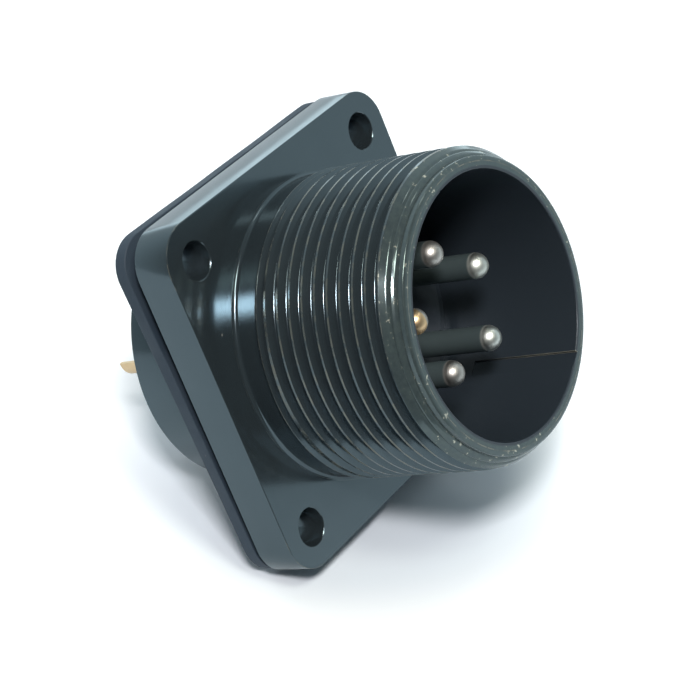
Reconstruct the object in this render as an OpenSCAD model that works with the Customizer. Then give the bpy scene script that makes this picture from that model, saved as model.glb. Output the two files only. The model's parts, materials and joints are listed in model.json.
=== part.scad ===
// Square-flange panel receptacle: a coupling barrel with an outside thread, five pin contacts
// in a moulded insert, and solder cups at the back.
// The nose points along -Y and +Z is up. The origin is the centre of the flange's rear face.
// Each piece is drawn standing, with its nose along +Z, and laid_down() turns it into place.

/* [Flange] */
// Side of the square flange
flange_side = 34.4; // [33:0.1:42]
// Thickness of the flange
flange_t = 3.86; // [2.5:0.01:5]
// Radius of the flange's corners
corner_r = 3.6; // [1:0.1:6]
// Distance from a mounting hole's centre in to the flange's edges
hole_inset = 3.715; // [3:0.005:4.5]
// Diameter of the mounting holes
hole_d = 3.5; // [2.5:0.1:4]

/* [Barrel] */
// Length from the flange's front face to the rim
barrel_len = 18.47; // [18:0.01:24]
// Wall of the barrel, from the socket's bore out to the crests of the thread
barrel_wall = 2.2675; // [1.8:0.0025:2.8]
// Depth of the plain neck behind the thread, below the crests
neck_depth = 0.3875; // [0.1:0.0125:1]
// Length of the plain neck, up to the 45 degree shoulder of the first ridge
neck_len = 2.35; // [1.5:0.01:4]
// Radius of the fillet where the neck meets the flange
neck_fillet = 0.4; // [0.1:0.05:0.8]

/* [Coupling thread] */
// Outside diameter of the thread
thread_d = 28.575; // [28.4:0.005:29.5]
// Distance from one crest to the next
thread_pitch = 1.411; // [1:0.001:1.5]
// Width of the flat on each crest
crest_flat = 0.18; // [0.1:0.01:0.5]
// Width of the flat at the bottom of each groove
root_flat = 0.37; // [0.1:0.01:0.5]
// Width of the first ridge, next to the neck
first_ridge = 0.15; // [0.1:0.01:0.5]
// Depth of the shallow groove that the thread runs out into
runout_depth = 0.5; // [0.2:0.01:0.7]
// Width of the flat at the bottom of that groove
runout_flat = 0.27; // [0.1:0.01:0.5]

/* [Lip] */
// Angle of the chamfer that leads onto the thread, measured from the axis
lead_angle = 35; // [30:1:45]
// Depth of the small end of that chamfer, below the crests
lead_depth = 0.39; // [0.2:0.01:0.5]
// Depth of the narrow band in front of the chamfer, below the crests
band_depth = 0.6; // [0.5:0.01:0.8]
// Width of the narrow band
band_w = 0.08; // [0.05:0.01:0.2]
// Depth of the fine line between the chamfer and the band, below the band
line_depth = 0.09; // [0.05:0.01:0.15]
// Depth of the nose in front of the band, below the crests
nose_depth = 1.07; // [0.9:0.01:1.3]
// Length of the nose
nose_len = 0.78; // [0.5:0.01:0.9]
// Width of the rim's flat face
rim_flat = 0.7; // [0.3:0.05:0.8]
// Fall of the sloping face outside the flat one
rim_fall = 0.13; // [0.05:0.01:0.3]

/* [Guide groove] */
// Width of the shallow groove in the socket's wall
guide_w = 1.5; // [1:0.1:3]
// Depth of the groove
guide_depth = 0.2; // [0.1:0.05:0.6]
// Length of the groove from the rim
guide_len = 11.5; // [6:0.1:13]
// Place of the groove round the socket
guide_angle = -51.5; // [-180:0.5:180]

/* [Rear sleeve] */
// Outside diameter of the sleeve behind the flange
sleeve_d = 26; // [25.6:0.1:28]
// Length of the sleeve behind the flange
sleeve_len = 10.15; // [9:0.05:16]
// Chamfer at the sleeve's end
sleeve_chamfer = 0.4; // [0.1:0.05:0.5]
// Wall of the sleeve, round the chamber that holds the insert
sleeve_wall = 1.3; // [1:0.1:1.6]
// Height of the ledge that stops the insert, above the narrower of the bores at its sides
ledge_h = 0.8; // [0.4:0.1:1.7]
// Thickness of the ledge
ledge_t = 1.6; // [1:0.1:2.5]

/* [Insert] */
// Depth of the insert's face below the rim
face_depth = 14.6; // [13.5:0.1:15.2]
// Height of the insert's face above the ledge
face_proud = 0.6; // [0:0.1:1.2]
// Radial clearance between the insert and the shell
insert_clear = 0.1; // [0.05:0.01:0.2]
// Distance from the flange's rear face back to the joint between the two insert halves
joint_depth = 1; // [0:0.1:3]

/* [Retaining ring] */
// Thickness of the ring
ring_t = 0.8; // [0.5:0.05:1.2]
// Radial width of the ring
ring_w = 1.2; // [0.9:0.05:1.4]
// Depth of the groove that the ring snaps into
ring_groove = 0.5; // [0.3:0.05:0.7]
// Distance from the sleeve's end to the ring
ring_inset = 1.35; // [0.8:0.05:3]
// Width of the gap in the ring
ring_gap = 5; // [2:0.1:8]

/* [Contacts] */
// Diameter of the circle that the contacts stand on
contact_ring_d = 11.28; // [10.5:0.01:12]
// Diameter of each pin
pin_dia = 2.39; // [1.5:0.01:2.6]
// Depth of the pins' tips below the rim
pin_recess = 3.87; // [2:0.01:6]
// Diameter of the collar that locks each contact in the insert
collar_d = 4; // [3.8:0.1:4.4]
// Thickness of the collar
collar_t = 1.8; // [1:0.1:2.5]
// Diameter of each solder cup, outside
cup_d = 3.5; // [3:0.1:3.7]
// Diameter of the hole in each cup
cup_bore_d = 2.6; // [1.6:0.1:2.7]
// Depth of the hole in each cup
cup_depth = 5.4; // [4.5:0.1:6.5]
// Length of the half that is cut away so that solder can be fed in
cup_window = 3.8; // [2:0.1:4.2]
// Length of each contact behind the sleeve's end
cup_reach = 7.2; // [6:0.1:12]
// Radial clearance round each contact in the insert
contact_clear = 0.05; // [0.02:0.01:0.08]

/* [Gasket] */
// Thickness of the gasket
gasket_t = 1.2; // [0.8:0.1:3]
// Gap between the flange and the gasket, which is pushed on but not seated
gasket_gap = 0.9; // [0.1:0.05:1.5]
// Distance that the gasket's edge stays inside the flange's edge
gasket_inset = 0.25; // [0.1:0.05:1]
// Radial clearance between the gasket and the sleeve
gasket_clear = 0.05; // [0.02:0.01:0.2]
// Extra diameter of the gasket's screw holes
gasket_hole_extra = 0.4; // [0:0.1:0.8]

/* [Hidden] */
$fn = 96;
// Overlap of cutting tools past the face that they open
past = 0.5;
contacts = 5;
first_contact_angle = 90;

hole_pitch = flange_side - 2 * hole_inset;
thread_r = thread_d / 2;
neck_r = thread_r - neck_depth;
bore_r = thread_r - barrel_wall;
chamber_r = sleeve_d / 2 - sleeve_wall;
ledge_r = min(bore_r, chamber_r) - ledge_h;
// A sharp 60 degree thread is as deep as its flank width times the cotangent of 30 degrees
flank_slope = tan(30);
thread_flank_w = (thread_pitch - crest_flat - root_flat) / 2;
root_r = thread_r - thread_flank_w / flank_slope;
rim_z = flange_t + barrel_len;
neck_end = flange_t + neck_len;
runout_r = thread_r - runout_depth;
runout_start = neck_end + neck_depth + first_ridge;
runout_floor = runout_start + runout_depth * flank_slope;
runout_end = runout_floor + runout_flat + runout_depth * flank_slope;
groove_start = runout_end + crest_flat;
groove_w = thread_pitch - crest_flat;

lead_r = thread_r - lead_depth;
band_r = thread_r - band_depth;
line_r = band_r - line_depth;
nose_r = thread_r - nose_depth;
band_end = rim_z - nose_len - (band_r - nose_r) * flank_slope;
band_start = band_end - band_w;
line_z = band_start - line_depth * flank_slope;
lead_end = line_z - (lead_r - line_r) * flank_slope;
lead_start = lead_end - lead_depth / tan(lead_angle);
thread_grooves = floor((lead_start - groove_start + crest_flat) / thread_pitch);

face_z = rim_z - face_depth;
ledge_front = face_z - face_proud;
ledge_back = ledge_front - ledge_t;
ring_back = ring_inset - sleeve_len;
insert_back = ring_back + ring_t;
joint_z = -joint_depth;
insert_body_r = chamber_r - insert_clear;
insert_nose_r = ledge_r - insert_clear;
tip_z = rim_z - pin_recess;
cup_end = -sleeve_len - cup_reach;

// Turns a standing piece so that its nose points along -Y
module laid_down() {
    rotate([90, 0, 0])
        children();
}

// A square with round corners
module rounded_square(side, r) {
    square([side, side - 2 * r], center = true);
    square([side - 2 * r, side], center = true);
    at_square_corners(side - 2 * r)
        circle(r);
}

// Copies of a flat or standing shape at the corners of a square
module at_square_corners(side) {
    for (x = [-1, 1], y = [-1, 1])
        translate([x * side / 2, y * side / 2])
            children();
}

// One copy at the place of contact number i
module at_contact(i) {
    rotate(first_contact_angle + i * 360 / contacts)
        translate([contact_ring_d / 2, 0, 0])
            rotate(-first_contact_angle - i * 360 / contacts)
                children();
}

// A copy at the place of every contact
module at_contacts() {
    for (i = [0 : contacts - 1])
        at_contact(i)
            children();
}

// A disc from height low to height high
module disc(r, low, high) {
    translate([0, 0, low])
        cylinder(r = r, h = high - low);
}

// Section of the barrel's outside, from the axis out: neck, first ridge, thread, lip and rim
function groove_points(i) = let (z = groove_start + i * thread_pitch) [
    [thread_r, z],
    [root_r, z + thread_flank_w],
    [root_r, z + thread_flank_w + root_flat],
    [thread_r, z + groove_w]
];
neck_points = [
    [0, 0], [neck_r, 0], [neck_r, neck_end],
    [thread_r, neck_end + neck_depth], [thread_r, runout_start],
    [runout_r, runout_floor], [runout_r, runout_floor + runout_flat], [thread_r, runout_end]
];
lip_points = [
    [thread_r, lead_start], [lead_r, lead_end],
    [line_r, line_z], [band_r, band_start], [band_r, band_end],
    [nose_r, rim_z - nose_len], [nose_r, rim_z - rim_fall],
    [bore_r + rim_flat, rim_z], [0, rim_z]
];
barrel_section = concat(
    neck_points,
    [for (i = [0 : thread_grooves - 1]) each groove_points(i)],
    lip_points
);

module neck_fillet_ring() {
    rotate_extrude()
        translate([neck_r, flange_t])
            difference() {
                translate([-past, -past])
                    square(neck_fillet + past);
                translate([neck_fillet, neck_fillet])
                    circle(neck_fillet);
            }
}

module flange_plate() {
    linear_extrude(flange_t)
        difference() {
            rounded_square(flange_side, corner_r);
            at_square_corners(hole_pitch)
                circle(d = hole_d);
        }
}

module rear_sleeve() {
    disc(sleeve_d / 2, sleeve_chamfer - sleeve_len, past);
    translate([0, 0, -sleeve_len])
        cylinder(r1 = sleeve_d / 2 - sleeve_chamfer, r2 = sleeve_d / 2, h = sleeve_chamfer);
}

module guide_groove() {
    rotate(guide_angle)
        translate([bore_r - past, -guide_w / 2, rim_z - guide_len])
            cube([past + guide_depth, guide_w, guide_len + past]);
}

module shell() {
    color([0.16, 0.18, 0.17])
        laid_down()
            difference() {
                union() {
                    rotate_extrude()
                        polygon(barrel_section);
                    neck_fillet_ring();
                    flange_plate();
                    rear_sleeve();
                }
                disc(bore_r, ledge_front, rim_z + past);
                disc(ledge_r, ledge_back - past, ledge_front + past);
                disc(chamber_r, -sleeve_len - past, ledge_back);
                disc(chamber_r + ring_groove, ring_back - insert_clear, insert_back + insert_clear);
                guide_groove();
            }
}

module gasket() {
    color([0.1, 0.12, 0.14])
        laid_down()
            translate([0, 0, -gasket_gap - gasket_t])
                linear_extrude(gasket_t)
                    difference() {
                        rounded_square(flange_side - 2 * gasket_inset, corner_r - gasket_inset);
                        circle(sleeve_d / 2 + gasket_clear);
                        at_square_corners(hole_pitch)
                            circle(d = hole_d + gasket_hole_extra);
                    }
}

module front_insert() {
    color([0.08, 0.09, 0.09])
        laid_down()
            difference() {
                union() {
                    disc(insert_body_r, joint_z, ledge_back);
                    disc(insert_nose_r, joint_z, face_z);
                }
                at_contacts() {
                    disc(pin_dia / 2 + contact_clear, joint_z - past, face_z + past);
                    disc(collar_d / 2 + contact_clear, joint_z - past, joint_z + collar_t);
                }
            }
}

module rear_insert() {
    color([0.13, 0.13, 0.14])
        laid_down()
            difference() {
                disc(insert_body_r, insert_back, joint_z);
                at_contacts()
                    disc(cup_d / 2 + contact_clear, insert_back - past, joint_z + past);
            }
}

module retaining_ring() {
    outer_r = chamber_r + ring_groove - insert_clear;
    color([0.6, 0.6, 0.58])
        laid_down()
            translate([0, 0, ring_back])
                linear_extrude(ring_t)
                    difference() {
                        circle(outer_r);
                        circle(outer_r - ring_w);
                        translate([0, -outer_r])
                            square([ring_gap, 2 * ring_w + 2 * past], center = true);
                    }
}

// One contact: pin with a round tip, locking collar, and a solder cup open towards +Z
module contact(i) {
    color([0.8, 0.78, 0.72])
        laid_down()
            at_contact(i)
                difference() {
                    union() {
                        disc(pin_dia / 2, joint_z, tip_z - pin_dia / 2);
                        translate([0, 0, tip_z - pin_dia / 2])
                            sphere(d = pin_dia);
                        disc(collar_d / 2, joint_z, joint_z + collar_t);
                        disc(cup_d / 2, cup_end, joint_z);
                    }
                    disc(cup_bore_d / 2, cup_end - past, cup_end + cup_depth);
                    translate([-cup_d, 0, cup_end - past])
                        cube([2 * cup_d, cup_d, cup_window + past]);
                }
}

shell();
gasket();
front_insert();
rear_insert();
retaining_ring();
contact(0);  // pin_a
contact(1);  // pin_b
contact(2);  // pin_c
contact(3);  // pin_d
contact(4);  // pin_e
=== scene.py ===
# %% [markdown]
# # A square-flange connector receptacle
#
# The real thing is a machined shell with a thread outside and a moulded insert inside. Five silvered
# pins stand in the insert, and their solder cups come out at the back. This notebook dresses the
# construction model: it loads the model, keeps every size, and makes each piece again as a fine mesh
# with a finish of its own.

# %% Load the frame
import json
import math

import bmesh
import bpy
from mathutils import Matrix, Vector


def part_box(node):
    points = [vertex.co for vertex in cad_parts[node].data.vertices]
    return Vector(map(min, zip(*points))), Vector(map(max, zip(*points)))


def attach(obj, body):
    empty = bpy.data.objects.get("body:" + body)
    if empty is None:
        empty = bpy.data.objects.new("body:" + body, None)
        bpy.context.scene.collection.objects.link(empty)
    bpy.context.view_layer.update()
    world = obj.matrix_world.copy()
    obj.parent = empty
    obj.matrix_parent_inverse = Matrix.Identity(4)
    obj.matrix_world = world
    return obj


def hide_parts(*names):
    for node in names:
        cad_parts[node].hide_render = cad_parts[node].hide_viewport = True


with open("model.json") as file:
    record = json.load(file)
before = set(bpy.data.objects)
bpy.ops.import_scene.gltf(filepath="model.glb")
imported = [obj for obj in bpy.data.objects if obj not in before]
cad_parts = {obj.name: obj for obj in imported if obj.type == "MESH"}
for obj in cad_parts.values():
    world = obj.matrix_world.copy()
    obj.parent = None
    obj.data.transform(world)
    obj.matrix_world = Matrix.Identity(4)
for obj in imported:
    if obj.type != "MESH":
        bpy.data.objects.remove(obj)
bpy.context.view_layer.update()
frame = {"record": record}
mounts = {m["name"]: m for m in frame["record"]["mounts"]}

# %% [markdown]
# ## Sizes of the shell
#
# Blender works in metres, and the real drawing is in millimetres, so `MM` turns one into the other.
# What the frame already knows is read from it: the boxes of the nodes and the dimensions of the mounts.
# The few turned details that no box can tell are written here, with the names that a machinist uses.
# Heights count from the flange's back, towards the nose, and most radii are steps down from the thread's.
# The other pieces have their sizes in their own cells.

# %% Sizes of the flange
MM = 0.001
shell_low, shell_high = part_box("shell")

flange_side = shell_high.x - shell_low.x
flange_t = 3.86 * MM
corner_r = 3.6 * MM
hole_pitch = mounts["flange_bolts"]["dims"]["spacing_x_mm"] * MM
hole_r = mounts["flange_bolts"]["dims"]["hole_r_mm"] * MM
edge_break = 0.05 * MM
print(f"flange {flange_side / MM:.2f} mm square, holes of {2 * hole_r / MM:.2f} mm")

# %% Sizes of the neck, the thread and the lip
rim_z = -shell_low.y
thread_r = mounts["coupling_thread"]["dims"]["r_mm"] * MM
neck_r = thread_r - 0.3875 * MM
neck_len = 2.35 * MM
neck_fillet = 0.4 * MM
first_ridge = 0.15 * MM
runout_depth = 0.5 * MM
runout_flat = 0.27 * MM

thread_pitch = 1.411 * MM
thread_depth = 0.745 * MM
root_round = 0.2 * MM
crest_flat = 0.18 * MM
thread_turns = 9
thread_start_angle = math.radians(-21)
thread_start_z = flange_t + 3.884 * MM

lead_r = thread_r - 0.39 * MM
band_r = thread_r - 0.6 * MM
line_r = band_r - 0.09 * MM
nose_r = thread_r - 1.07 * MM
nose_len = 0.78 * MM
band_w = 0.08 * MM
facet_rise = 0.3 * MM
facet_depth = 0.27 * MM
nose_step = 0.04 * MM
lead_ease = 0.1 * MM
band_ease = 0.07 * MM
nose_ease = 0.15 * MM
rim_flat = 0.7 * MM
rim_fall = 0.208 * MM
bore_edge = 0.1 * MM
print(f"rim at {rim_z / MM:.2f} mm, thread {2 * thread_r / MM:.2f} mm across")

# %% Sizes of the socket and the sleeve
bore_r = mounts["mating_socket"]["dims"]["r_mm"] * MM
guide_w = 1.5 * MM
guide_depth = 0.2 * MM
guide_len = 11.5 * MM
guide_angle = math.radians(-51.5)
line_angle = guide_angle + guide_w / 2 / bore_r
nick_angle = math.radians(98.2)
nick_r = 0.16 * MM

sleeve_r = 13.0 * MM
sleeve_end = -shell_high.y
sleeve_chamfer = 0.4 * MM
chamber_r = 11.7 * MM
ledge_r = 10.9 * MM
face_z = -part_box("front_insert")[0].y
ledge_front = face_z - 0.6 * MM
ledge_back = ledge_front - 1.6 * MM
ring_low, ring_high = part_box("retaining_ring")
ring_groove_r = 12.2 * MM
print(f"sleeve ends at {sleeve_end / MM:.2f} mm, insert's face at {face_z / MM:.2f} mm")

# %% [markdown]
# ## The camera
#
# The connector is seen from its front left and a little above. Two angles and a distance round an aim
# point place the camera, and a roll tips it, because the connector leans back where it lies. The camera
# stands close, which makes the nose look a little larger than the flange, and a long lens fills the
# picture.

# %% Camera
aim = Vector((-0.24, -4.40, -2.59)) * MM
azimuth = math.radians(-47.9)
elevation = math.radians(18.7)
roll = math.radians(-22.5)
distance = 236 * MM

towards_camera = Vector((math.sin(azimuth) * math.cos(elevation),
                         -math.cos(azimuth) * math.cos(elevation),
                         math.sin(elevation)))
camera = bpy.data.objects.new("camera", bpy.data.cameras.new("camera"))
camera.data.lens = 132
camera.data.sensor_width = 36
camera.data.clip_start = 0.01
camera.location = aim + towards_camera * distance
camera.rotation_mode = "QUATERNION"
level = towards_camera.to_track_quat("Z", "Y")
camera.rotation_quaternion = level @ Matrix.Rotation(roll, 3, "Z").to_quaternion()
bpy.context.scene.collection.objects.link(camera)
bpy.context.scene.camera = camera
bpy.context.scene.view_settings.view_transform = "Standard"
print("camera at", [round(v / MM, 1) for v in camera.location], "mm")

# %% [markdown]
# ## Node helpers
#
# A material is a small graph. Writing it out call by call hides its idea, so a few helpers carry the
# routine: `add` makes a node and sets it, `join` draws the links, and `group` opens a node group
# with named sockets. The others each stand for one node that comes back often, or for a chain of them.

# %% Nodes, links and groups
def add(tree, kind, inputs=None, **settings):
    """A new node in the tree, with its settings and the values of its input sockets."""
    node = tree.nodes.new("ShaderNode" + kind)
    for name, value in settings.items():
        setattr(node, name, value)
    for key, value in (inputs or {}).items():
        node.inputs[key].default_value = value
    return node


def join(tree, *pairs):
    """Links each (output, input) pair."""
    for source, target in pairs:
        tree.links.new(source, target)


def group(name, inputs, outputs):
    """A shader node group with named float, colour or vector sockets, and its two end nodes."""
    tree = bpy.data.node_groups.new(name, "ShaderNodeTree")
    for socket, kind, value in inputs:
        made = tree.interface.new_socket(socket, in_out="INPUT", socket_type="NodeSocket" + kind)
        if value is not None:
            made.default_value = value
    for socket, kind in outputs:
        tree.interface.new_socket(socket, in_out="OUTPUT", socket_type="NodeSocket" + kind)
    return tree, tree.nodes.new("NodeGroupInput"), tree.nodes.new("NodeGroupOutput")


def show_group(tree):
    """Prints a group's name and its sockets."""
    print("group", tree.name, [s.name for s in tree.interface.items_tree])


def place(tree, made_group, **inputs):
    """One copy of a group in a material, with its own values."""
    node = tree.nodes.new("ShaderNodeGroup")
    node.node_tree = made_group
    for name, value in inputs.items():
        node.inputs[name.replace("_", " ")].default_value = value
    return node


# %% Masks and mixes
def math_node(tree, operation, *values):
    """A Math node. Each value is a number or the output that feeds it."""
    node = add(tree, "Math", operation=operation)
    for socket, value in zip(node.inputs, values):
        if isinstance(value, (int, float)):
            socket.default_value = value
        else:
            join(tree, (value, socket))
    return node.outputs[0]


def product(tree, first, *others):
    """All values multiplied. Masks multiplied hold only where every one of them holds."""
    for value in others:
        first = math_node(tree, "MULTIPLY", first, value)
    return first


def largest(tree, first, *others):
    """The largest of the values, which joins masks."""
    for value in others:
        first = math_node(tree, "MAXIMUM", first, value)
    return first


def ramp(tree, value, low, high, to_low=0.0, to_high=1.0):
    """A smooth step from low to high."""
    node = add(tree, "MapRange", interpolation_type="SMOOTHSTEP")
    for name, number in (("From Min", low), ("From Max", high), ("To Min", to_low), ("To Max", to_high)):
        node.inputs[name].default_value = number
    join(tree, (value, node.inputs["Value"]))
    return node.outputs["Result"]


def mix_colour(tree, factor, a, b):
    """A colour mix. a and b are colours or the outputs that give them."""
    node = add(tree, "Mix", data_type="RGBA")
    join(tree, (factor, node.inputs["Factor"]))
    colour_a, colour_b = [s for s in node.inputs if s.type == "RGBA"]
    for socket, value in ((colour_a, a), (colour_b, b)):
        if isinstance(value, tuple):
            socket.default_value = value
        else:
            join(tree, (value, socket))
    return [s for s in node.outputs if s.type == "RGBA"][0]


def mix_value(tree, factor, a, b):
    """A mix of two values. a and b are numbers or outputs."""
    node = add(tree, "Mix", data_type="FLOAT")
    join(tree, (factor, node.inputs[0]))
    for socket, value in ((node.inputs[2], a), (node.inputs[3], b)):
        if isinstance(value, (int, float)):
            socket.default_value = value
        else:
            join(tree, (value, socket))
    return node.outputs[0]


def bumped(tree, shader, height, strength, distance):
    """Feeds a height to the shader's normal through a Bump node."""
    bump = add(tree, "Bump", {"Strength": strength, "Distance": distance})
    join(tree,
         (height, bump.inputs["Height"]),
         (bump.outputs["Normal"], shader.inputs["Normal"]))


def new_material(name):
    """A material with an empty Principled shader, and its tree and shader."""
    material = bpy.data.materials.new(name)
    material.use_nodes = True
    tree = material.node_tree
    return material, tree, tree.nodes["Principled BSDF"]

# %% [markdown]
# ## Shared effects
#
# Four effects come back in several finishes. **Edge wear** compares the true normal with one that the
# Bevel node has rounded: they differ only at an edge, where plating rubs through first. **Grain** is
# fine and coarse noise for bump and roughness. **Specks** are small sharp dots for dust and chips.
# **Zones** says where on a turned piece a point is. Each is a group that puts out plain masks and
# heights, and the shader stays in the material.

# %% Edge wear
edge_wear, ins, outs = group(
    "edge_wear",
    [("Radius", "Float", 0.1 * MM), ("Scale", "Float", 900.0), ("Cover", "Float", 0.5)],
    [("Mask", "Float"), ("Edge", "Float")],
)
rounded = add(edge_wear, "Bevel", samples=6)
true_normal = add(edge_wear, "NewGeometry")
likeness = add(edge_wear, "VectorMath", operation="DOT_PRODUCT")
on_piece = add(edge_wear, "TexCoord").outputs["Object"]
patches = add(edge_wear, "TexNoise", {"Detail": 3.0, "Roughness": 0.65})
join(edge_wear,
     (ins.outputs["Radius"], rounded.inputs["Radius"]),
     (rounded.outputs["Normal"], likeness.inputs[0]),
     (true_normal.outputs["Normal"], likeness.inputs[1]),
     (on_piece, patches.inputs["Vector"]),
     (ins.outputs["Scale"], patches.inputs["Scale"]))
edge = ramp(edge_wear, likeness.outputs["Value"], 0.995, 0.86)
uncovered = math_node(edge_wear, "SUBTRACT", 1.0, ins.outputs["Cover"])
kept = math_node(edge_wear, "SUBTRACT", patches.outputs["Fac"], uncovered)
worn = ramp(edge_wear, kept, -0.12, 0.12)
join(edge_wear,
     (product(edge_wear, edge, worn), outs.inputs["Mask"]),
     (edge, outs.inputs["Edge"]))
show_group(edge_wear)

# %% Grain
grain, ins, outs = group(
    "grain",
    [("Scale", "Float", 2500.0), ("Cloud Scale", "Float", 150.0)],
    [("Height", "Float"), ("Cloud", "Float")],
)
on_piece = add(grain, "TexCoord").outputs["Object"]
fine = add(grain, "TexNoise", {"Detail": 2.0})
cloud = add(grain, "TexNoise", {"Detail": 4.0, "Roughness": 0.6})
join(grain,
     (on_piece, fine.inputs["Vector"]),
     (on_piece, cloud.inputs["Vector"]),
     (ins.outputs["Scale"], fine.inputs["Scale"]),
     (ins.outputs["Cloud Scale"], cloud.inputs["Scale"]),
     (fine.outputs["Fac"], outs.inputs["Height"]),
     (cloud.outputs["Fac"], outs.inputs["Cloud"]))
show_group(grain)

# %% Specks
specks, ins, outs = group(
    "specks",
    [("Scale", "Float", 600.0), ("Size", "Float", 0.08), ("Share", "Float", 0.1)],
    [("Mask", "Float")],
)
on_piece = add(specks, "TexCoord").outputs["Object"]
cells = add(specks, "TexVoronoi", {"Randomness": 1.0})
chance = add(specks, "SeparateColor")
join(specks,
     (on_piece, cells.inputs["Vector"]),
     (ins.outputs["Scale"], cells.inputs["Scale"]),
     (cells.outputs["Color"], chance.inputs["Color"]))
near = math_node(specks, "LESS_THAN", cells.outputs["Distance"], ins.outputs["Size"])
chosen = math_node(specks, "LESS_THAN", chance.outputs["Red"], ins.outputs["Share"])
join(specks, (product(specks, near, chosen), outs.inputs["Mask"]))
show_group(specks)

# %% Zones of a turned piece
zones, ins, outs = group("zones", [], [("Radius", "Float"), ("Along", "Float"), ("Across", "Float")])
on_piece = add(zones, "TexCoord").outputs["Object"]
parts_of_it = add(zones, "SeparateXYZ")
join(zones, (on_piece, parts_of_it.inputs["Vector"]))
square_x = math_node(zones, "POWER", parts_of_it.outputs["X"], 2.0)
square_z = math_node(zones, "POWER", parts_of_it.outputs["Z"], 2.0)
squares = math_node(zones, "ADD", square_x, square_z)
join(zones,
     (math_node(zones, "SQRT", squares), outs.inputs["Radius"]),
     (math_node(zones, "MULTIPLY", parts_of_it.outputs["Y"], -1.0), outs.inputs["Along"]),
     (parts_of_it.outputs["X"], outs.inputs["Across"]))
show_group(zones)

# %% [markdown]
# ## The plating
#
# The shell is plated dark olive: a metal that mirrors only about a tenth of the light. A dark base
# colour with a high metallic value gives that mirror, and a little grain softens it. A painted look,
# diffuse with a clear coat, was the other way, but paint has no metallic depth.
#
# Handling has rubbed it, so masks come first, each from 0 to 1: the thread's crests, the rim's outer
# line, the flange's far corners, and every sharp edge outside the socket. Patches of noise break each
# of them up, as real wear is never even.

# %% Plated shell: rubbed edges and crests
plated, tree, shader = new_material("dark_plating")
where = place(tree, zones)
wear = place(tree, edge_wear, Radius=0.04 * MM, Scale=700.0, Cover=0.5)
skin = place(tree, grain, Scale=5200.0, Cloud_Scale=160.0)
patches = place(tree, grain, Scale=900.0, Cloud_Scale=1500.0)
dust = place(tree, specks, Scale=420.0, Size=0.05, Share=0.05)
radius = where.outputs["Radius"]
along = where.outputs["Along"]

# Inside the socket the plating is painted near black and made duller: painted shade, for the shadow deep
# in the socket.
inside = ramp(tree, radius, bore_r + 0.35 * MM, bore_r + 0.22 * MM)
outside = math_node(tree, "SUBTRACT", 1.0, inside)
rubbed = ramp(tree, patches.outputs["Height"], 0.38, 0.62, 0.10, 0.85)

on_crest = ramp(tree, radius, thread_r - 0.02 * MM, thread_r - 0.005 * MM)
past_neck = ramp(tree, along, flange_t + 1 * MM, flange_t + 1.2 * MM)
rim_line = math_node(tree, "COMPARE", radius, bore_r + rim_flat, 0.05 * MM)
on_rim = ramp(tree, along, rim_z - 0.1 * MM, rim_z - 0.05 * MM)
front_edge = math_node(tree, "COMPARE", along, flange_t - 0.045 * MM, 0.03 * MM)
at_corner = math_node(tree, "GREATER_THAN", radius, 21.2 * MM)
wear_and_highlight_places = [
    product(tree, wear.outputs["Mask"], outside),
    product(tree, on_crest, past_neck, rubbed),
    product(tree, rim_line, on_rim, rubbed),
    product(tree, front_edge, at_corner, rubbed),
]
print(len(wear_and_highlight_places), "kinds of worn place")

# %% [markdown]
# The guide groove's sharp side shows as one thin bright line in the dark socket, and that line is a
# painted highlight in the worn-metal colour. Two dot products find it from Object coordinates: one
# measures across the line, and the other tells its side of the socket from the opposite one. The painted
# line fades out towards the bottom, as the groove does.

# %% Plated shell: the guide groove's painted highlight
line_side = add(tree, "VectorMath", {1: (-math.sin(line_angle), 0, math.cos(line_angle))},
                operation="DOT_PRODUCT")
line_ray = add(tree, "VectorMath", {1: (math.cos(line_angle), 0, math.sin(line_angle))},
               operation="DOT_PRODUCT")
on_piece = add(tree, "TexCoord").outputs["Object"]
join(tree,
     (on_piece, line_side.inputs[0]),
     (on_piece, line_ray.inputs[0]))
on_highlight_line = math_node(tree, "COMPARE", line_side.outputs["Value"], 0.0, 0.05 * MM)
this_side = math_node(tree, "GREATER_THAN", line_ray.outputs["Value"], bore_r * 0.9)
highlight_fade = ramp(tree, along, rim_z - guide_len, rim_z - 3 * MM, 0.0, 0.95)
# The groove's line is a painted highlight, laid in the worn-metal colour.
wear_and_highlight_places.append(product(tree, on_highlight_line, this_side, highlight_fade, inside))
wear_and_painted_line = largest(tree, *wear_and_highlight_places)
print(f"the line lies at {math.degrees(line_angle):.1f} degrees")

# %% [markdown]
# The lip is knocked more than the rest. It has gone satin in clouds, and here and there a chip shows
# the pale base metal; each pale chip on the lip also stands in for a glint, as a painted highlight. Then
# the colours are laid over each other in this order: plating, the socket's painted shade, satin, worn
# metal with the guide groove's painted highlight, the chip colour with its painted glints, and dust on
# top.

# %% Plated shell: the lip, the colours and the gloss
PLATING = (0.076, 0.100, 0.113, 1)
PLATING_LIGHTER = tuple(1.2 * c for c in PLATING[:3]) + (1,)
# Colour of worn metal, used also for the guide groove's painted highlight.
WORN_METAL_AND_LINE_HIGHLIGHT = (0.19, 0.185, 0.155, 1)
# Pale base metal where the plating is chipped; on the lip the same spots also stand in for glints, as
# painted highlights.
CHIPPED_AND_GLINT = (0.62, 0.60, 0.50, 1)
# Near black for the socket's inside: a painted shade.
SOCKET_PAINTED_SHADE = (0.031, 0.041, 0.052, 1)
LIP_SATIN = (0.078, 0.104, 0.104, 1)
DUST = (0.5, 0.5, 0.46, 1)

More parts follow.
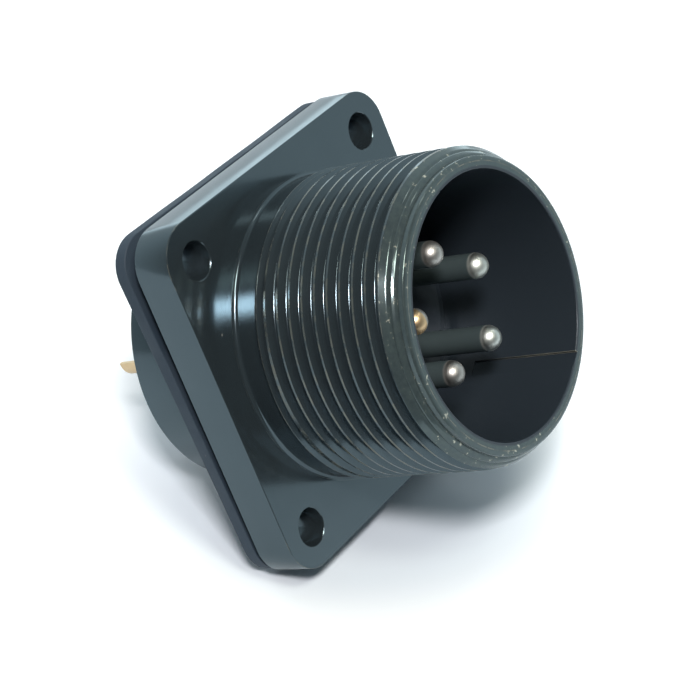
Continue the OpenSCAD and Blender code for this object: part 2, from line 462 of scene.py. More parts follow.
on_lip = ramp(tree, along, rim_z - 2.1 * MM, rim_z - 1.9 * MM)
below_crest = ramp(tree, radius, thread_r - 0.005 * MM, thread_r - 0.03 * MM)
clouds = ramp(tree, patches.outputs["Cloud"], 0.30, 0.65, 0.55, 1.0)
satin = product(tree, below_crest, on_lip, clouds, outside)
# Chipped spots on the lip: real chips, and painted glints as well.
chips_and_glints = product(tree, on_lip, ramp(tree, patches.outputs["Cloud"], 0.635, 0.69, 0.0, 0.8), outside)
dust_outside = product(tree, dust.outputs["Mask"], outside)

colour = mix_colour(tree, skin.outputs["Cloud"], PLATING, PLATING_LIGHTER)
for mask, layer in ((inside, SOCKET_PAINTED_SHADE), (satin, LIP_SATIN), (wear_and_painted_line, WORN_METAL_AND_LINE_HIGHLIGHT),
                    (chips_and_glints, CHIPPED_AND_GLINT), (dust_outside, DUST)):
    colour = mix_colour(tree, mask, colour, layer)
gloss = ramp(tree, skin.outputs["Cloud"], 0.3, 0.7, 0.12, 0.18)
socket_gloss = mix_value(tree, inside, gloss, 0.3)
wear_and_line_gloss = mix_value(tree, wear_and_painted_line, socket_gloss, 0.36)
lip_metal = mix_value(tree, satin, 0.76, 0.40)
bumped(tree, shader, skin.outputs["Height"], 0.05, 0.02 * MM)
join(tree,
     (colour, shader.inputs["Base Color"]),
     (wear_and_line_gloss, shader.inputs["Roughness"]),
     (mix_value(tree, inside, lip_metal, 0.2), shader.inputs["Metallic"]))
print(plated.name, len(tree.nodes), "nodes")

# %% [markdown]
# ## Rubber, plastic and steel
#
# These three are plain: one colour clouded by the grain, and a roughness that follows it. The gasket is
# matt rubber, cut from sheet, and it catches dust. The inserts are black moulded plastic with a faint
# cloudiness. The ring is spring steel, a little brighter where its edges rub in the groove. An image of
# each surface was the other way, but noise never repeats and needs no file.

# %% Gasket rubber
rubber, tree, shader = new_material("gasket_rubber")
skin = place(tree, grain, Scale=4000.0, Cloud_Scale=220.0)
dust = place(tree, specks, Scale=700.0, Size=0.09, Share=0.12)
black = mix_colour(tree, skin.outputs["Cloud"], (0.024, 0.038, 0.056, 1), (0.036, 0.054, 0.076, 1))
dusty = mix_colour(tree, dust.outputs["Mask"], black, (0.16, 0.17, 0.18, 1))
bumped(tree, shader, skin.outputs["Height"], 0.35, 0.05 * MM)
join(tree,
     (dusty, shader.inputs["Base Color"]),
     (ramp(tree, skin.outputs["Cloud"], 0.3, 0.7, 0.55, 0.75), shader.inputs["Roughness"]))
print(rubber.name, len(tree.nodes), "nodes")

# %% Moulded plastic
plastic, tree, shader = new_material("moulded_black")
skin = place(tree, grain, Scale=3000.0, Cloud_Scale=300.0)
black = mix_colour(tree, skin.outputs["Cloud"], (0.034, 0.044, 0.055, 1), (0.044, 0.056, 0.068, 1))
bumped(tree, shader, skin.outputs["Height"], 0.15, 0.03 * MM)
join(tree,
     (black, shader.inputs["Base Color"]),
     (ramp(tree, skin.outputs["Cloud"], 0.3, 0.7, 0.38, 0.5), shader.inputs["Roughness"]))
print(plastic.name, len(tree.nodes), "nodes")

# %% Spring steel
steel, tree, shader = new_material("spring_steel")
wear = place(tree, edge_wear, Radius=0.08 * MM, Scale=900.0, Cover=0.6)
skin = place(tree, grain, Scale=6000.0, Cloud_Scale=400.0)
grey = mix_colour(tree, skin.outputs["Cloud"], (0.22, 0.22, 0.21, 1), (0.34, 0.33, 0.31, 1))
bright = mix_colour(tree, wear.outputs["Mask"], grey, (0.62, 0.61, 0.58, 1))
join(tree,
     (bright, shader.inputs["Base Color"]),
     (ramp(tree, skin.outputs["Height"], 0.3, 0.7, 0.28, 0.42), shader.inputs["Roughness"]))
shader.inputs["Metallic"].default_value = 1.0
print(steel.name, len(tree.nodes), "nodes")

# %% [markdown]
# ## The silvered contacts
#
# The contacts are turned brass under silver. The tips are bright and finely ringed by the tool, with a
# satin gloss. The plug has dulled three of them, and on one the silver is worn down to the brass. The
# shanks below the tips stand deep in the socket's shade, and that shade is painted on them as a near-black
# colour. One material serves all five: the position along and across the connector tells which finish a
# point gets.

# %% Silvered contacts: tones
TIP_BRIGHT = (0.84, 0.86, 0.80, 1)
TIP_TARNISHED = (0.72, 0.73, 0.66, 1)
TIP_DULL = (0.50, 0.46, 0.43, 1)
BRASS = (0.80, 0.53, 0.26, 1)
# Near black for the shanks: painted shade from the dark socket round them.
SHANK_SHADE = (0.075, 0.100, 0.104, 1)
tip_z = -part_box("pin_a")[0].y

silver, tree, shader = new_material("silvered_contact")
skin = place(tree, grain, Scale=5000.0, Cloud_Scale=260.0)
where = place(tree, zones)
across = where.outputs["Across"]
along = where.outputs["Along"]
on_pin = ramp(tree, along, face_z - 1 * MM, face_z)
on_left = ramp(tree, across, 2.4 * MM, 1.6 * MM, 0.0, 0.8)
tarnish = ramp(tree, skin.outputs["Cloud"], 0.46, 0.62)
thin_plating = ramp(tree, across, -5.1 * MM, -5.3 * MM, 0.0, 0.8)
# Below the tip the shank is painted near black, for the shade in the socket.
below_tip = ramp(tree, along, tip_z - 0.95 * MM, tip_z - 1.4 * MM)
on_shaded_shank = product(tree, below_tip, on_pin)

tone = mix_colour(tree, tarnish, TIP_BRIGHT, TIP_TARNISHED)
for mask, layer in ((product(tree, on_left, on_pin), TIP_DULL), (thin_plating, BRASS), (on_shaded_shank, SHANK_SHADE)):
    tone = mix_colour(tree, mask, tone, layer)
print(f"tips end at {tip_z / MM:.2f} mm")

# %% Silvered contacts: tool marks and gloss
on_piece = add(tree, "TexCoord").outputs["Object"]
tool_marks = add(tree, "TexWave", {"Scale": 1500.0, "Distortion": 0.6, "Detail": 1.0},
                 wave_type="BANDS", bands_direction="Y")
bumped(tree, shader, tool_marks.outputs["Fac"], 0.08, 0.01 * MM)
join(tree,
     (on_piece, tool_marks.inputs["Vector"]),
     (tone, shader.inputs["Base Color"]),
     (ramp(tree, skin.outputs["Cloud"], 0.3, 0.7, 0.38, 0.50), shader.inputs["Roughness"]),
     (mix_value(tree, on_shaded_shank, 1.0, 0.3), shader.inputs["Metallic"]))
print("finishes", [m.name for m in bpy.data.materials])

# %% [markdown]
# ## Shape helpers
#
# Most of this connector came off a lathe, so most of it is a section spun about an axis. `turned` draws
# the section as a chain of points and spins it a full turn. Pieces are made standing, nose up, so that
# the axis is Z, and `finish_piece` lays the finished mesh down in the frame, where the nose points
# along -Y.
#
# Smooth shading blends normals over whole faces, so a long flat side next to a small edge break would
# look dented. `held` puts a point close to both ends of each long side, which keeps it flat.

# %% Sections and turning
STEPS = 240
WELD = 0.001 * MM


def arc(centre, radius, start, end, steps=6):
    """Points on an arc of a section, from start to end in degrees."""
    angles = [math.radians(start + (end - start) * i / steps) for i in range(steps + 1)]
    return [(centre[0] + radius * math.cos(a), centre[1] + radius * math.sin(a)) for a in angles]


def held(points, reach=0.03 * MM, closed=True):
    """The same section with a point close to both ends of each long side, which keeps it flat."""
    result = []
    for i, (r, z) in enumerate(points):
        result.append((r, z))
        if i == len(points) - 1 and not closed:
            break
        next_r, next_z = points[(i + 1) % len(points)]
        length = math.hypot(next_r - r, next_z - z)
        if length > 4 * reach:
            for share in (reach / length, 1 - reach / length):
                result.append((r + (next_r - r) * share, z + (next_z - z) * share))
    return result


def chain(bm, points, closed=True):
    """Vertices and edges along (radius, height) points, in the plane y = 0."""
    verts = [bm.verts.new((r, 0, z)) for r, z in points]
    last = len(verts) if closed else len(verts) - 1
    edges = [bm.edges.new((verts[i], verts[(i + 1) % len(verts)])) for i in range(last)]
    return verts + edges


def turned(points, closed=True, steps=STEPS):
    """A bmesh of the section spun a full turn about the Z axis."""
    bm = bmesh.new()
    section = chain(bm, points, closed)
    bmesh.ops.spin(bm, geom=section, cent=(0, 0, 0), axis=(0, 0, 1), dvec=(0, 0, 0),
                   angle=2 * math.pi, steps=steps, use_merge=True)
    bmesh.ops.remove_doubles(bm, verts=bm.verts, dist=WELD)
    bmesh.ops.recalc_face_normals(bm, faces=bm.faces)
    return bm


# %% Objects, cuts and the last steps of a piece
STANDING_TO_FRAME = Matrix.Rotation(math.radians(90), 4, "X")


def as_object(bm, name):
    """A scene object that holds the bmesh."""
    mesh = bpy.data.meshes.new(name)
    bm.to_mesh(mesh)
    bm.free()
    made = bpy.data.objects.new(name, mesh)
    bpy.context.scene.collection.objects.link(made)
    return made


def cut(target, tool, operation="DIFFERENCE"):
    """Applies an exact boolean to the target and removes the tool."""
    modifier = target.modifiers.new("cut", "BOOLEAN")
    modifier.operation = operation
    modifier.solver = "EXACT"
    modifier.object = tool
    bpy.context.view_layer.update()
    evaluated = target.evaluated_get(bpy.context.evaluated_depsgraph_get())
    result = bpy.data.meshes.new_from_object(evaluated)
    target.modifiers.clear()
    target.data = result
    bpy.data.objects.remove(tool)


def finish_piece(made, material, slot, *nodes, sharp=20):
    """Lays a standing piece down, smooths its round faces, gives it its finish and its body."""
    mesh = made.data
    mesh.transform(STANDING_TO_FRAME)
    mesh.materials.clear()
    mesh.materials.append(material)
    mesh.shade_smooth()
    mesh.set_sharp_from_angle(angle=math.radians(sharp))
    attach(made, "root")
    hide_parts(*nodes)
    print(f"{made.name}: {len(mesh.polygons)} faces, {[round(1000 * d, 2) for d in made.dimensions]} mm")
    return made

# %% [markdown]
# ## The shell
#
# The shell is one machined piece, and three shapes describe it well: a turned body, a square plate, and a
# thread. The body's section runs up the outside from the sleeve's end to the rim and down through the
# socket, the ledge and the chamber. Small edge breaks along it catch the light as the real ones do.
#
# The neck and the lip have the most detail, so each has a function for its part of the section. Slopes
# are given as the run of a cutting tool: 30 degrees on the thread's flanks, 35 on the lead chamfer.

# %% Section of the neck and the lip
flank_slope = math.tan(math.radians(30))
lead_slope = math.tan(math.radians(35))


def neck_points():
    """Section of the neck, its first ridge and the shallow groove that the thread runs out into."""
    neck_end = flange_t + neck_len
    ridge_end = neck_end + thread_r - neck_r + first_ridge
    floor_start = ridge_end + runout_depth * flank_slope
    floor_end = floor_start + runout_flat
    groove_end = floor_end + runout_depth * flank_slope
    return ([(neck_r + neck_fillet, flange_t + 0.01 * MM)]
            + arc((neck_r + neck_fillet, flange_t + neck_fillet), neck_fillet, 270, 180)[1:]
            + [(neck_r, neck_end), (thread_r - edge_break, neck_end + thread_r - neck_r - edge_break)]
            + arc((thread_r - edge_break, ridge_end - edge_break), edge_break, 0, 60, 3)
            + [(thread_r - runout_depth, floor_start), (thread_r - runout_depth, floor_end)]
            + [(thread_r, groove_end)])


def eased(before, corner, after, reach, steps=4):
    """Points that round one corner of a section, from reach before it to reach after it."""
    corner = Vector(corner)
    start = corner + (Vector(before) - corner).normalized() * reach
    end = corner + (Vector(after) - corner).normalized() * reach
    shares = [i / steps for i in range(steps + 1)]
    return [tuple(start.lerp(corner, t).lerp(corner.lerp(end, t), t)) for t in shares]


def lip_points():
    """Section of the lip: the chamfer onto the thread, a fine line, a curved band and the nose."""
    nose_start = rim_z - nose_len
    band_end = nose_start - (band_r - nose_r) * flank_slope
    band_start = band_end - band_w
    line_z = band_start - (band_r - line_r) * flank_slope
    lead_end = line_z - (lead_r - line_r) * flank_slope
    lead_start = lead_end - (thread_r - lead_r) / lead_slope
    rounding = [(bore_r + rim_flat + (nose_r - bore_r - rim_flat) * math.cos(math.radians(a)),
                 rim_z - rim_fall * (1 - math.sin(math.radians(a)))) for a in range(0, 91, 15)]
    facet = (band_r - facet_depth, band_end + facet_rise)
    nose_foot = (nose_r, facet[1] + nose_step)
    return ([(thread_r, lead_start)]
            + eased((thread_r, lead_start), (lead_r, lead_end), (line_r, line_z), lead_ease)
            + [(line_r, line_z), (band_r, band_start)]
            + eased((band_r, band_start), (band_r, band_end), facet, band_ease)
            + eased((band_r, band_end), facet, nose_foot, nose_ease)
            + [nose_foot]
            + rounding + arc((bore_r + bore_edge, rim_z - bore_edge), bore_edge, 90, 180, 5))


# %% The turned body
body_section = (
    [(sleeve_r - sleeve_chamfer, sleeve_end), (sleeve_r, sleeve_end + sleeve_chamfer),
     (sleeve_r, flange_t / 2), (neck_r + neck_fillet, flange_t / 2)]
    + neck_points() + lip_points()
    + [(bore_r, ledge_front), (ledge_r, ledge_front), (ledge_r, ledge_back), (chamber_r, ledge_back)]
    + [(chamber_r, -ring_low.y), (ring_groove_r, -ring_low.y), (ring_groove_r, -ring_high.y),
       (chamber_r, -ring_high.y), (chamber_r, sleeve_end + edge_break),
       (chamber_r + edge_break, sleeve_end)]
)
shell = as_object(turned(held(body_section)), "shell_machined")
print("turned body", len(shell.data.polygons), "faces")

# %% [markdown]
# The flange is a square with rounded corners. Four corners of a small circle make the square, and
# bevelling its corner points rounds them. Extruding gives the thickness, and a second bevel
# breaks the long edges. A cube with bevelled edges was the other way, but its round corners would be
# harder to size. The gasket is made by the same function.

# %% A plate with rounded corners
def rounded_plate(side, radius, low, high, edge, segments=14):
    """A standing plate with rounded corners and broken edges."""
    bm = bmesh.new()
    bmesh.ops.create_circle(bm, cap_ends=True, segments=4, radius=side / math.sqrt(2))
    bmesh.ops.rotate(bm, cent=(0, 0, 0), matrix=Matrix.Rotation(math.radians(45), 3, "Z"), verts=bm.verts)
    bmesh.ops.translate(bm, vec=(0, 0, low), verts=bm.verts)
    bmesh.ops.bevel(bm, geom=list(bm.verts), offset=radius, offset_type="OFFSET", segments=segments,
                    profile=0.5, affect="VERTICES", material=-1)
    extruded = bmesh.ops.extrude_face_region(bm, geom=list(bm.faces))["geom"]
    top = [v for v in extruded if isinstance(v, bmesh.types.BMVert)]
    bmesh.ops.translate(bm, vec=(0, 0, high - low), verts=top)
    bmesh.ops.recalc_face_normals(bm, faces=bm.faces)
    rims = [e for e in bm.edges if abs(e.verts[0].co.z - e.verts[1].co.z) < 0.01 * MM]
    bmesh.ops.bevel(bm, geom=rims, offset=edge, offset_type="OFFSET", segments=4, profile=0.5,
                    affect="EDGES", material=-1)
    flats = sorted(bm.faces, key=lambda f: f.calc_area())[-2:]
    bmesh.ops.inset_region(bm, faces=flats, thickness=0.04 * MM)
    straight = side / 2 - radius - 0.1 * MM
    for x, y in ((1, 0), (0, 1)):
        for place_at in (-straight, straight):
            bmesh.ops.bisect_plane(bm, geom=bm.verts[:] + bm.edges[:] + bm.faces[:],
                                   plane_co=(x * place_at, y * place_at, 0), plane_no=(x, y, 0))
    return bm


# %% Drills for the corner holes
def hole_cutter(radius, low, high, edge):
    """A drill with a countersink at both faces."""
    past = 1 * MM
    return turned([(0, low - past), (radius + edge + past, low - past), (radius, low + edge),
                   (radius, high - edge), (radius + edge + past, high + past), (0, high + past)],
                  closed=False, steps=64)


def copies(bm, places, name):
    """One object with a copy of the mesh at each place."""
    one = bpy.data.meshes.new(name)
    bm.to_mesh(one)
    bm.free()
    joined = bmesh.new()
    for at in places:
        one.transform(Matrix.Translation(at))
        joined.from_mesh(one)
        one.transform(Matrix.Translation(-at))
    bpy.data.meshes.remove(one)
    return as_object(joined, name)


def corner_holes(radius, low, high, edge):
    """Four cutters, one at each screw hole."""
    places = [Vector((x * hole_pitch / 2, y * hole_pitch / 2, 0)) for x in (-1, 1) for y in (-1, 1)]
    return copies(hole_cutter(radius, low, high, edge), places, "corner_holes")


# %% [markdown]
# A thread is a V cut along a helix. The cutter here is the V's own section with a rounded point. One turn
# of it is spun, with each step lifted by a share of the pitch, and eight copies are set on top and welded:
# that is much faster than spinning nine turns. It has as many steps to a turn as the body, so the two
# meshes meet on the same lines and the cut stays clean. A Screw modifier was the other way, but it can't
# lift the tool out of the metal at both ends, as a lathe does, on the side that faces away.

# %% The thread's tool
def groove_section():
    """The V between two crests, with a rounded root, closed by a side outside the metal."""
    half_top = (thread_pitch - crest_flat) / 2
    root_r = thread_r - thread_depth
    clear = 0.3 * MM
    half_root = half_top - thread_depth * flank_slope
    centre = (root_r + root_round, half_root - root_round * flank_slope)
    low_arc = [(r, -z) for r, z in arc(centre, root_round, 120, 180, 4)]
    high_arc = arc(centre, root_round, 180, 120, 4)
    return ([(thread_r + clear, -half_top), (thread_r, -half_top)] + low_arc + high_arc
            + [(thread_r, half_top), (thread_r + clear, half_top)])


def thread_cutter():
    """The helical tool that cuts the thread: one turn, copied up by the pitch and welded."""
    one = bmesh.new()
    bmesh.ops.spin(one, geom=chain(one, held(groove_section())), cent=(0, 0, 0), axis=(0, 0, 1),
                   dvec=(0, 0, thread_pitch / STEPS), angle=2 * math.pi, steps=STEPS)
    turn = bpy.data.meshes.new("turn")
    one.to_mesh(turn)
    one.free()
    bm = bmesh.new()
    for _ in range(thread_turns):
        bm.from_mesh(turn)
        turn.transform(Matrix.Translation((0, 0, thread_pitch)))
    bpy.data.meshes.remove(turn)
    bmesh.ops.remove_doubles(bm, verts=bm.verts, dist=0.0001 * MM)
    bmesh.ops.holes_fill(bm, edges=bm.edges[:])
    return bm


def back_out(bm, run_out=0.08):
    """Lifts the tool out of the metal over a small part of a turn at both ends."""
    for v in bm.verts:
        part_turn = math.atan2(v.co.y, v.co.x) / (2 * math.pi) % 1.0
        turn = part_turn + round(v.co.z / thread_pitch - part_turn)
        share = max(0.0, 1 - max(0.0, min(turn, thread_turns - turn)) / run_out)
        v.co += Vector((v.co.x, v.co.y, 0)).normalized() * (thread_depth + 0.1 * MM) * share


# %% Coupling thread
tool = thread_cutter()
back_out(tool)
print("thread tool", len(tool.faces), "faces")
bmesh.ops.rotate(tool, cent=(0, 0, 0), matrix=Matrix.Rotation(thread_start_angle, 3, "Z"),
                 verts=tool.verts)
bmesh.ops.translate(tool, vec=(0, 0, thread_start_z), verts=tool.verts)
bmesh.ops.recalc_face_normals(tool, faces=tool.faces)
cut(shell, as_object(tool, "thread_tool"))

# %% [markdown]
# The flange joins the threaded body, and drills open its corners. One long wedge mills the shallow guide
# groove in the socket's wall: it has one sharp side and fades out at the other. A small ball leaves the
# nick in the bore's edge.

# %% Flange and holes
flange_edge = 0.08 * MM
hole_edge = 0.06 * MM
cut(shell, as_object(rounded_plate(flange_side, corner_r, 0, flange_t, flange_edge), "flange"), "UNION")
cut(shell, corner_holes(hole_r, 0, flange_t, hole_edge))
print("shell with flange and holes", len(shell.data.polygons), "faces")


# %% Guide groove and nick
def guide_cutter():
    """The milling cut for the guide groove."""
    bm = bmesh.new()
    bmesh.ops.create_cube(bm, size=1)
    past = 1 * MM
    bmesh.ops.scale(bm, vec=(past + guide_depth, guide_w, guide_len + past), verts=bm.verts)
    bmesh.ops.translate(bm, vec=(bore_r + (guide_depth - past) / 2, 0, rim_z - (guide_len - past) / 2),
                        verts=bm.verts)
    shallow_side = [v for v in bm.verts if v.co.y < 0 and v.co.x > bore_r]
    bmesh.ops.translate(bm, vec=(-guide_depth, 0, 0), verts=shallow_side)
    bmesh.ops.rotate(bm, cent=(0, 0, 0), matrix=Matrix.Rotation(guide_angle, 3, "Z"), verts=bm.verts)
    return as_object(bm, "guide_cutter")


def nick_cutter(angle, size):
    """A ball that dents the bore's edge."""
    bm = bmesh.new()
    bmesh.ops.create_icosphere(bm, subdivisions=2, radius=size)
    bmesh.ops.translate(bm, vec=(bore_r * math.cos(angle), bore_r * math.sin(angle), rim_z),
                        verts=bm.verts)
    return as_object(bm, "nick_cutter")


cut(shell, guide_cutter())
cut(shell, nick_cutter(nick_angle, nick_r))
finish_piece(shell, plated, "shell", "shell")

# %% [markdown]
# ## The gasket
#
# The gasket is stamped from sheet rubber with the flange's outline. A stamped sheet never lies quite
# flat, so a slow wave bends it by a few hundredths of a millimetre, one corner hangs back and the
# opposite one is pressed towards the flange. It is pushed over the sleeve and stands a little off the
# flange. Bisecting the plate into a grid gives the bend enough points. A Cloth simulation could bend it
# too, but it would not keep the stamped thickness so well.

# %% Stamping the gasket
gasket_low, gasket_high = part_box("gasket")
gasket_side = gasket_high.x - gasket_low.x
gasket_back = -gasket_high.y
gasket_front = -gasket_low.y
gasket_corner_r = corner_r - (flange_side - gasket_side) / 2
gasket_edge = 0.1 * MM
gasket_bore_r = sleeve_r + 0.05 * MM
gasket_hole_r = hole_r + 0.2 * MM
gasket = as_object(rounded_plate(gasket_side, gasket_corner_r, gasket_back, gasket_front, gasket_edge),
                   "gasket_sheet")
bore = turned([(0, gasket_back - MM), (gasket_bore_r, gasket_back - MM),
               (gasket_bore_r, gasket_front + MM), (0, gasket_front + MM)], closed=False)
cut(gasket, as_object(bore, "gasket_bore"))
cut(gasket, corner_holes(gasket_hole_r, gasket_back, gasket_front, edge_break))
print(f"sheet {gasket_side / MM:.2f} mm square, {(gasket_front - gasket_back) / MM:.2f} mm thick")

# %% Bending the sheet
wave_height = 0.04 * MM
corner_lift = 0.6 * MM
corner_press = 0.4 * MM
wave_rate = (0.62, 0.55)
wave_start = (1.1, -0.4)
grid = 1.5 * MM


def bend_sheet(v):
    """How far a place on the sheet moves off its plane: one corner hangs back, one is pressed home."""
    hanging = max(0.0, (v.co.y - v.co.x) / flange_side) ** 2
    pressed = max(0.0, -(v.co.x + v.co.y) / flange_side) ** 2
    wave = (math.sin(v.co.x / MM * wave_rate[0] + wave_start[0])
            * math.cos(v.co.y / MM * wave_rate[1] + wave_start[1]))
    return wave_height * wave - corner_lift * hanging + corner_press * pressed


bm = bmesh.new()
bm.from_mesh(gasket.data)
for axis in ((1, 0, 0), (0, 1, 0)):
    for step in range(-11, 12):
        bmesh.ops.bisect_plane(bm, geom=bm.verts[:] + bm.edges[:] + bm.faces[:],
                               plane_co=Vector(axis) * step * grid, plane_no=axis)
bmesh.ops.triangulate(bm, faces=bm.faces[:])
for v in bm.verts:
    v.co.z += bend_sheet(v)
bm.to_mesh(gasket.data)
bm.free()
finish_piece(gasket, rubber, "gasket", "gasket")

# %% [markdown]
# ## The inserts
#
# Two moulded discs hold the contacts between them. Each is a turned block with five holes, and its
# edges are rounded as a mould leaves them. The front one has wider pockets behind, where the contacts'
# collars sit, and the rear one closes them. Drilling by a boolean keeps the holes true to the contacts.

# %% Where the contacts stand
contact_ring_r = mounts["solder_cups"]["dims"]["pcd_mm"] / 2 * MM
contact_clear = 0.05 * MM
pin_r = 1.195 * MM
collar_r = 2.0 * MM
collar_t = 1.8 * MM
cup_r = 1.75 * MM
joint_z = -1.0 * MM


def contact_places():
    """Where the contacts stand, on their circle, the first one at the top."""
    angles = [math.radians(90 + 72 * i) for i in range(5)]
    return [Vector((contact_ring_r * math.cos(a), contact_ring_r * math.sin(a), 0)) for a in angles]


def contact_bores(radius, low, high):
    """Five cutters, one at each contact."""
    bm = turned([(0, low), (radius, low), (radius, high), (0, high)], closed=False, steps=64)
    return copies(bm, contact_places(), "contact_bores")


print(len(contact_places()), "contacts on a circle of", round(2 * contact_ring_r / MM, 2), "mm")

# %% Inserts
insert_clear = 0.1 * MM
body_r = chamber_r - insert_clear
boss_r = ledge_r - insert_clear
soft = 0.15 * MM
front_section = ([(0, joint_z), (body_r, joint_z), (body_r, ledge_back), (boss_r, ledge_back)]
                 + arc((boss_r - soft, face_z - soft), soft, 0, 90, 5) + [(0, face_z)])
front = as_object(turned(held(front_section, closed=False), closed=False), "front_insert_moulded")
cut(front, contact_bores(pin_r + contact_clear, joint_z - MM, face_z + MM))
cut(front, contact_bores(collar_r + contact_clear, joint_z - MM, joint_z + collar_t))
finish_piece(front, plastic, "front_insert", "front_insert")

insert_back = -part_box("rear_insert")[1].y
rear_section = ([(0, insert_back)] + arc((body_r - soft, insert_back + soft), soft, 270, 360, 5)
                + [(body_r, joint_z), (0, joint_z)])
rear = as_object(turned(held(rear_section, closed=False), closed=False), "rear_insert_moulded")
cut(rear, contact_bores(cup_r + contact_clear, insert_back - MM, joint_z + MM))
finish_piece(rear, plastic, "rear_insert", "rear_insert")

# %% [markdown]
# ## The retaining ring
#
# The ring is spring steel of a flat section, bent round and left open at the bottom, so that pliers can
# squeeze it. Its section is spun through less than a full turn, and `holes_fill` closes both ends. A full
# ring with a piece cut out would do as well, with one boolean more.

# %% Retaining ring
def ring_section(inner, outer, low, high, edge=0.08 * MM):
    """A flat bar with broken edges."""
    return ([(inner, low + edge), (inner + edge, low), (outer - edge, low), (outer, low + edge)]
            + [(outer, high - edge), (outer - edge, high), (inner + edge, high), (inner, high - edge)])


ring_outer = (ring_high.x - ring_low.x) / 2
ring_width = 1.2 * MM
ring_opening = 5 * MM / ring_outer
bm = bmesh.new()
section = chain(bm, ring_section(ring_outer - ring_width, ring_outer, -ring_high.y, -ring_low.y))
bmesh.ops.rotate(bm, cent=(0, 0, 0), verts=bm.verts,
                 matrix=Matrix.Rotation(math.radians(-90) + ring_opening / 2, 3, "Z"))
bmesh.ops.spin(bm, geom=section, cent=(0, 0, 0), axis=(0, 0, 1), dvec=(0, 0, 0),
               angle=2 * math.pi - ring_opening, steps=STEPS)
bmesh.ops.holes_fill(bm, edges=bm.edges[:])
bmesh.ops.recalc_face_normals(bm, faces=bm.faces)
finish_piece(as_object(bm, "retaining_ring_bar"), steel, "retaining_ring", "retaining_ring")

# %% [markdown]
# ## The contacts
#
# A contact is turned from bar in one go: a round tip, a straight pin, a collar, and a bored cup at the
# back. Half of the cup's wall is milled away at the end, so that solder can be fed in. Linked copies of
# one mesh would be lighter, but the finish reads a point's place in the connector from its Object
# coordinates, and linked copies would share theirs.

# %% Section of a contact
cup_end = -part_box("pin_a")[1].y
cup_bore_r = mounts["solder_cups"]["dims"]["hole_r_mm"] * MM
cup_depth = 5.4 * MM
cup_window = 3.8 * MM


def contact_section():
    """Section of one contact, from the bottom of the cup's bore round to the tip."""
    edge = 0.08 * MM
    dome = arc((0, tip_z - pin_r), pin_r, 0, 90, 10)
    return ([(0, cup_end + cup_depth - 0.4 * MM), (cup_bore_r - edge, cup_end + cup_depth)]
            + [(cup_bore_r, cup_end + cup_depth - edge), (cup_bore_r, cup_end + edge)]
            + [(cup_bore_r + edge, cup_end), (cup_r - edge, cup_end), (cup_r, cup_end + edge)]
            + [(cup_r, joint_z), (collar_r, joint_z), (collar_r, joint_z + collar_t)]
            + [(pin_r, joint_z + collar_t)] + dome)


# %% Five contacts
for letter, at in zip("abcde", contact_places()):
    contact = as_object(turned(held(contact_section(), closed=False), closed=False, steps=96),
                        "contact_" + letter)
    bm = bmesh.new()
    bmesh.ops.create_cube(bm, size=1)
    bmesh.ops.scale(bm, vec=(2 * cup_r + MM, 2 * cup_r, cup_window + MM), verts=bm.verts)
    bmesh.ops.translate(bm, vec=(0, cup_r, cup_end + (cup_window - MM) / 2), verts=bm.verts)
    cut(contact, as_object(bm, "window"))
    contact.data.transform(Matrix.Translation(at))
    finish_piece(contact, silver, "contacts", "pin_" + letter)

# %% [markdown]
# ## The floor
#
# The connector lies leaning back on its gasket's lower edge and its rear sleeve, so the floor passes
# through those two places. It is a large pale disc whose near edge lies 55 mm in front of them, and it is
# clear from below. An extra diffuse layer, for camera rays alone, lifts the table: a little near the
# connector, so that a painted shade stays round the real shadow there, and to white further out. It adds
# no light to the connector.

# %% Floor
lean_from = Vector((0, gasket_high.y, gasket_low.z))
lean_to = Vector((0, shell_high.y - sleeve_chamfer, -sleeve_r))
lean = math.atan2(lean_to.z - lean_from.z, lean_to.y - lean_from.y)
table_up = Vector((0, -math.sin(lean), math.cos(lean)))

table_r = 0.7
table_gap = 0.02 * MM
front_margin = 55 * MM
away_on_table = (-towards_camera + table_up * table_up.dot(towards_camera)).normalized()
bm = bmesh.new()
bmesh.ops.create_circle(bm, cap_ends=True, segments=96, radius=table_r)
bmesh.ops.rotate(bm, cent=(0, 0, 0), matrix=Matrix.Rotation(lean, 3, "X"), verts=bm.verts)
bmesh.ops.translate(bm, vec=lean_from - table_up * table_gap + away_on_table * (table_r - front_margin),
                    verts=bm.verts)
floor = as_object(bm, "floor")
print(f"the connector leans back by {math.degrees(lean):.1f} degrees")

# %% Paper on the floor
PAPER = (0.72, 0.79, 0.84, 1)
# LIFT_NEAR is kept small round the connector, which leaves a painted shade on the table there.
LIFT_NEAR = (0.10, 0.08, 0.09, 1)
LIFT_FAR = (0.34, 0.29, 0.26, 1)
painted_shade_middle = (3.4 * MM, 4.5 * MM, -16.3 * MM)

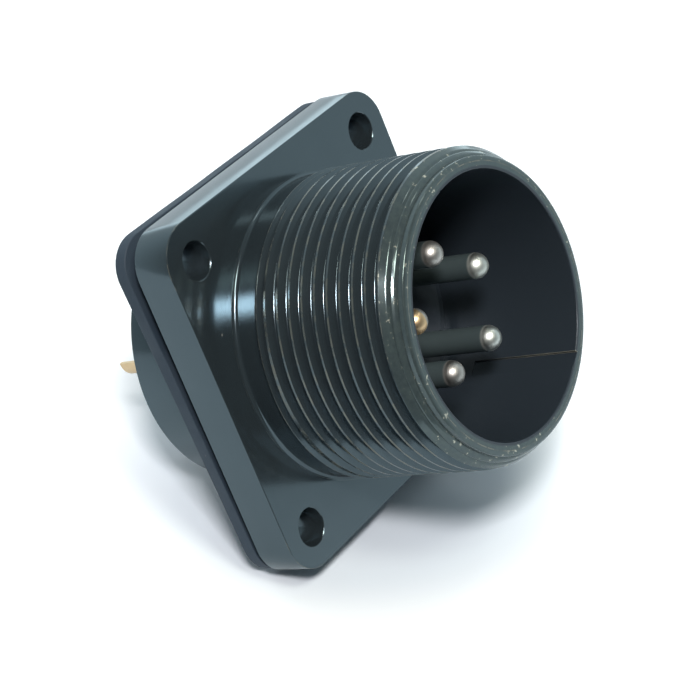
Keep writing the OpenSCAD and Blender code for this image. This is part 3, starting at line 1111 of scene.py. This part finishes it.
paper, tree, shader = new_material("white_table")
shader.inputs["Base Color"].default_value = PAPER
shader.inputs["Roughness"].default_value = 0.6
light_path = add(tree, "LightPath")
facing = add(tree, "NewGeometry")
on_floor = add(tree, "TexCoord").outputs["Object"]
from_middle = add(tree, "VectorMath", {1: painted_shade_middle}, operation="DISTANCE")
far_from_middle = ramp(tree, from_middle.outputs["Value"], 17 * MM, 25 * MM)
lift = mix_colour(tree, far_from_middle, LIFT_NEAR, LIFT_FAR)
lifting = add(tree, "BsdfDiffuse")
lifted = add(tree, "AddShader")
seen = add(tree, "MixShader")
clear = add(tree, "BsdfTransparent")
from_below = add(tree, "MixShader")
output = tree.nodes["Material Output"]
join(tree,
     (on_floor, from_middle.inputs[0]),
     (lift, lifting.inputs["Color"]),
     (shader.outputs[0], lifted.inputs[0]),
     (lifting.outputs[0], lifted.inputs[1]),
     (light_path.outputs["Is Camera Ray"], seen.inputs[0]),
     (shader.outputs[0], seen.inputs[1]),
     (lifted.outputs[0], seen.inputs[2]),
     (facing.outputs["Backfacing"], from_below.inputs[0]),
     (seen.outputs[0], from_below.inputs[1]),
     (clear.outputs[0], from_below.inputs[2]),
     (from_below.outputs[0], output.inputs["Surface"]))
floor.data.materials.append(paper)
print(paper.name, len(tree.nodes), "nodes")

# %% [markdown]
# ## The lamps
#
# Three soft ceiling panels shine from the front. The main one draws the bright band along the barrel
# and the glints in the thread, and two weaker ones draw a second and third row beside it. A large panel
# behind keeps the shadow soft and towards the viewer, and glossy rays don't see it, so the metal stays
# dark. `panel` takes a radiance instead of watts, so a lamp can change its size without its brightness.

# %% Lamps
def panel(name, direction, size, radiance, colour, reach=0.7, glossy=True):
    """A square soft lamp, as bright as asked whatever its size."""
    light = bpy.data.lights.new(name, "AREA")
    light.shape = "SQUARE"
    light.size = size
    light.energy = radiance * math.pi * size * size
    light.color = colour
    lamp = bpy.data.objects.new(name, light)
    lamp.location = Vector(direction).normalized() * reach
    lamp.rotation_mode = "QUATERNION"
    lamp.rotation_quaternion = Vector(direction).to_track_quat("Z", "Y")
    lamp.visible_camera = False
    lamp.visible_glossy = glossy
    bpy.context.scene.collection.objects.link(lamp)


panel("ceiling_main", (-0.52, -0.66, 0.545), 0.11, 100.0, (1.0, 0.98, 0.98))
panel("ceiling_second", (-0.25, -0.80, 0.62), 0.15, 20.0, (0.98, 1.0, 0.88))
panel("ceiling_far", (0.40, -0.63, 0.67), 0.07, 9.0, (1.0, 1.0, 0.92))
panel("behind", (0.35, 0.50, 0.79), 0.50, 2.4, (1.0, 1.0, 1.0), glossy=False)

# %% [markdown]
# ## The backdrop
#
# The camera sees plain white. All other rays see a room: dark behind the camera, paler towards the
# sides, and brightest straight beyond the connector. That slope is what makes dark plating look like
# metal. An image of a real room would do it too, but a ramp is easier to steer.

# %% Backdrop
ROOM_LIGHT = (0.78, 0.94, 1.0, 1)
PLAIN_WHITE = (1, 1, 1, 1)

world = bpy.data.worlds.new("studio")
world.use_nodes = True
bpy.context.scene.world = world
tree = world.node_tree
background = tree.nodes["Background"]
light_path = add(tree, "LightPath")
looking = add(tree, "TexCoord")
away = add(tree, "VectorMath", {1: -towards_camera}, operation="DOT_PRODUCT")
join(tree, (looking.outputs["Generated"], away.inputs[0]))
rising = ramp(tree, away.outputs["Value"], -0.7, 0.35, 0.06, 0.85)
far_wall = ramp(tree, away.outputs["Value"], 0.6, 0.80, 0.0, 1.9)
backdrop = math_node(tree, "ADD", rising, far_wall)
strength = mix_value(tree, light_path.outputs["Is Camera Ray"], backdrop, 1.0)
daylight = mix_colour(tree, light_path.outputs["Is Camera Ray"], ROOM_LIGHT, PLAIN_WHITE)
join(tree,
     (strength, background.inputs["Strength"]),
     (daylight, background.inputs["Color"]))
print(world.name, len(tree.nodes), "nodes")
